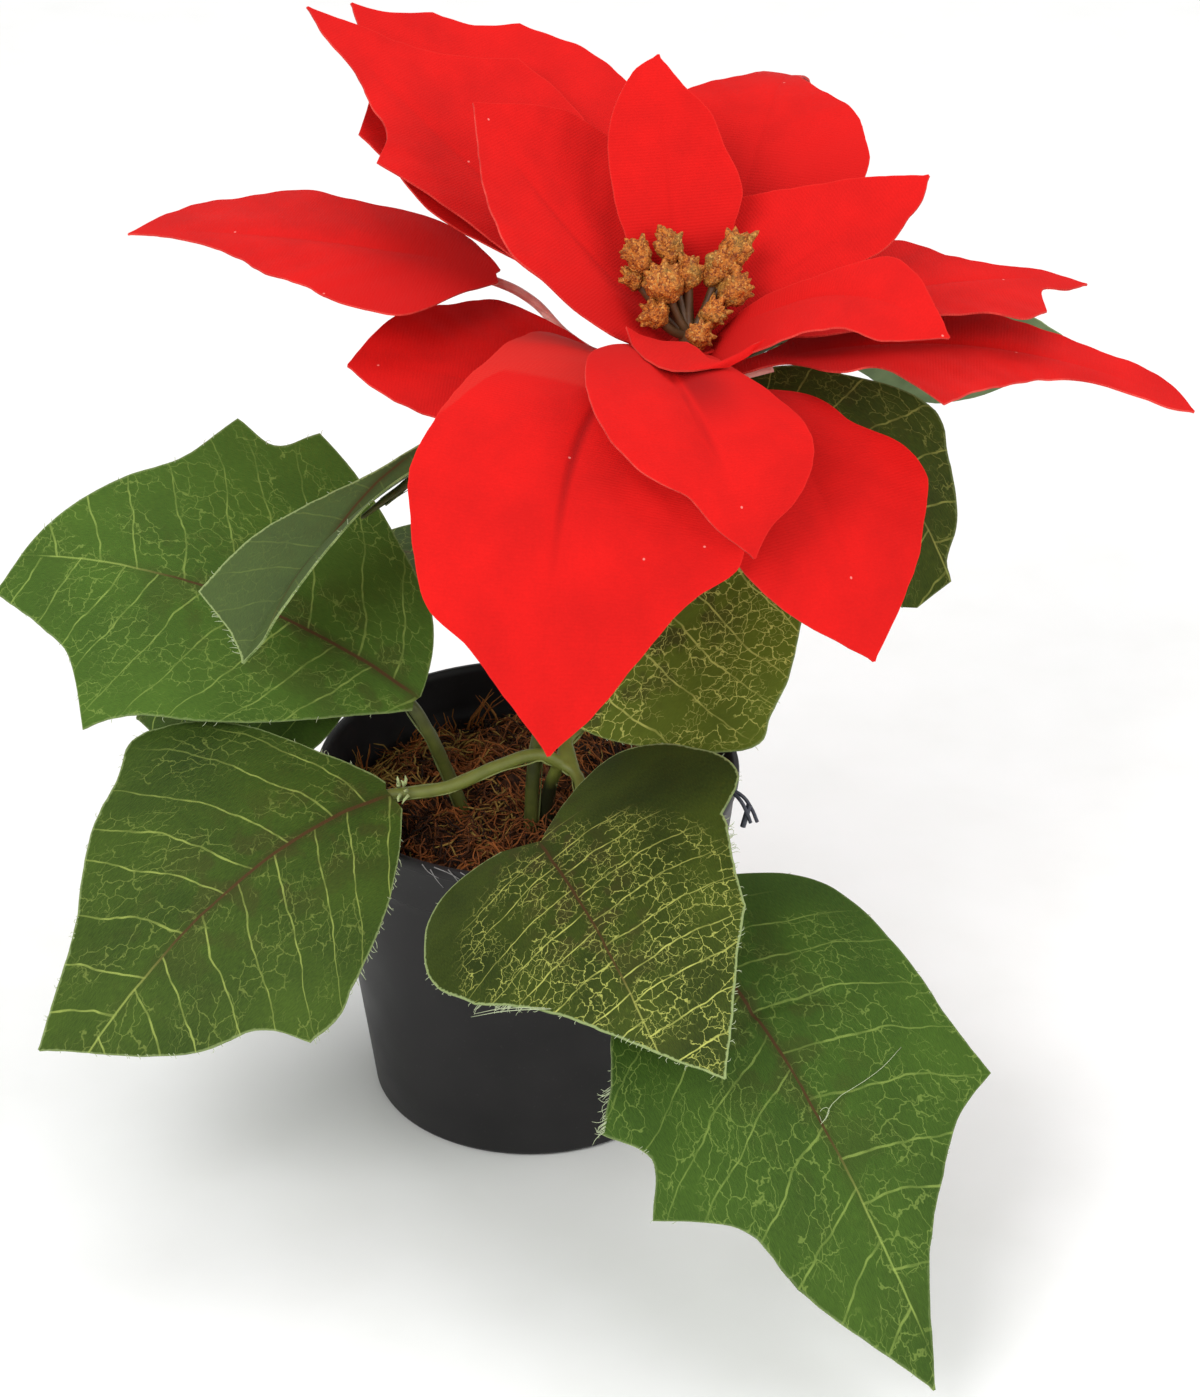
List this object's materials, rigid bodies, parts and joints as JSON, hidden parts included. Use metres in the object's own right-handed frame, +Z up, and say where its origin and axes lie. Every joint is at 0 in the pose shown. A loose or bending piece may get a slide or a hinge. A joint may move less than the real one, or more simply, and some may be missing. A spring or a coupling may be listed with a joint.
{
  "type": "potted artificial poinsettia",
  "caption": "Artificial poinsettia with layered red fabric bracts, printed green fabric leaves and plastic stems, standing in a small round nursery pot topped with moss.",
  "frame": {"origin": "middle of the pot's flat base, on the surface that it stands on", "axes": "+Z up out of the pot, +X to the right and +Y to the back as the flower head leans towards +X"},
  "size_m": [0.2724, 0.2362, 0.2553],
  "materials": {
    "pot_plastic": "thin black injection-moulded polypropylene, satin outside, a little dusty",
    "filling": "set grey filling under the moss, rough",
    "moss": "loose dyed red-brown moss fibre, matt",
    "stem_plastic": "soft green moulded plastic over wire, satin",
    "stalk_plastic": "translucent pinkish moulded plastic, satin",
    "leaf_fabric": "stiffened woven polyester printed green with yellow-green veins, die cut",
    "bract_fabric": "stiffened bright red polyester, velvety, heat pressed with a midrib crease",
    "bud_gold": "orange-gold flocked granules over plastic, matt"
  },
  "bodies": {
    "root": {"pot": "pot_plastic", "pot_filling": "filling", "moss": "moss", "flower_stem": "stem_plastic", "leaf_branch": "stem_plastic", "left_leaf_stalk": "stem_plastic", "leaf_left_upper": "leaf_fabric", "leaf_folded": "leaf_fabric", "leaf_left_lower": "leaf_fabric", "leaf_front": "leaf_fabric", "leaf_right_lower": "leaf_fabric", "leaf_center_right": "leaf_fabric", "leaf_behind_right": "leaf_fabric", "leaf_far_right": "leaf_fabric", "leaf_behind_left": "leaf_fabric", "leaf_back_left": "leaf_fabric", "outer_bract_back_left": "bract_fabric", "outer_bract_back_left_rear": "bract_fabric", "outer_bract_back_right": "bract_fabric", "outer_bract_right": "bract_fabric", "outer_bract_right_front": "bract_fabric", "outer_bract_front_right": "bract_fabric", "outer_bract_front": "bract_fabric", "outer_bract_left_front": "bract_fabric", "outer_bract_left": "bract_fabric", "inner_bract_star": "bract_fabric", "bract_hub": "stalk_plastic", "cyathia": "bud_gold", "tag_pin": "pot_plastic"}
  },
  "joints": []
}
